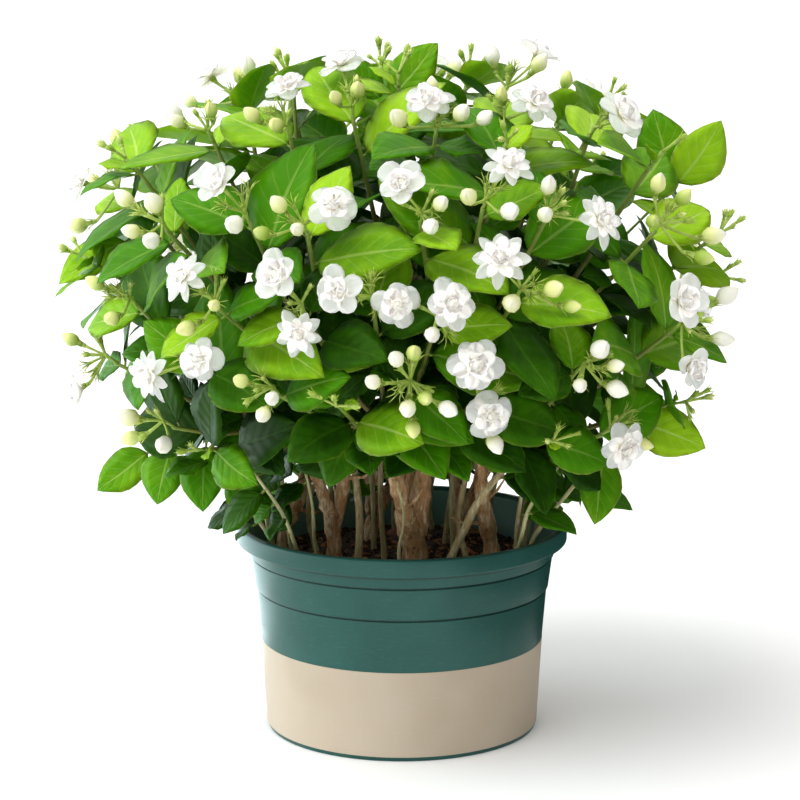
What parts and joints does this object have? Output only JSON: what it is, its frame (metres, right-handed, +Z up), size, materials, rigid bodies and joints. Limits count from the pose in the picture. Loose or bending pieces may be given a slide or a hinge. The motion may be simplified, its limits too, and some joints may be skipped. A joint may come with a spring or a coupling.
{
  "type": "potted jasmine",
  "caption": "Bushy flowering jasmine with broad paired leaves, double white blooms and buds, in a round plastic nursery pot with soil.",
  "frame": {"origin": "centre of the pot's underside, in the plane that it stands on", "axes": "+Z up through the pot's middle, -Y towards the front"},
  "size_m": [0.4653, 0.4374, 0.476],
  "materials": {
    "pot_plastic": "satin",
    "potting_soil": "matte",
    "bark": "matte",
    "foliage": "satin",
    "petals": "matte"
  },
  "bodies": {
    "root": {"pot": "pot_plastic", "soil": "potting_soil", "trunk_1": "bark", "trunk_2": "bark", "trunk_3": "bark", "trunk_4": "bark", "trunk_5": "bark", "trunk_6": "bark", "branch_left_low": "foliage", "branch_left_high": "foliage", "branch_front_low": "foliage", "branch_front_high": "foliage", "branch_crown_front": "foliage", "branch_right_low": "foliage", "branch_right_high": "foliage", "branch_back_right_low": "foliage", "branch_back_right_high": "foliage", "branch_back_low": "foliage", "branch_back_high": "foliage", "branch_crown_back": "foliage", "branch_back_left_low": "foliage", "branch_back_left_high": "foliage", "flower_head_01": "petals", "flower_head_02": "petals", "flower_head_03": "petals", "flower_head_04": "petals", "flower_head_05": "petals", "flower_head_06": "petals", "flower_head_07": "petals", "flower_head_08": "petals", "flower_head_09": "petals", "flower_head_10": "petals", "flower_head_11": "petals", "flower_head_12": "petals", "flower_head_13": "petals", "flower_head_14": "petals", "flower_head_15": "petals", "flower_head_16": "petals", "flower_head_17": "petals", "flower_head_18": "petals", "flower_head_19": "petals", "flower_head_20": "petals", "flower_head_21": "petals", "flower_head_22": "petals", "flower_head_23": "petals", "flower_head_24": "petals", "flower_head_25": "petals", "flower_head_26": "petals", "flower_head_27": "petals", "flower_head_28": "petals", "flower_head_29": "petals", "flower_head_30": "petals", "flower_head_31": "petals", "flower_head_32": "petals", "flower_head_33": "petals", "flower_head_34": "petals", "flower_head_35": "petals", "flower_head_36": "petals", "flower_head_37": "petals", "flower_head_38": "petals"}
  },
  "joints": []
}
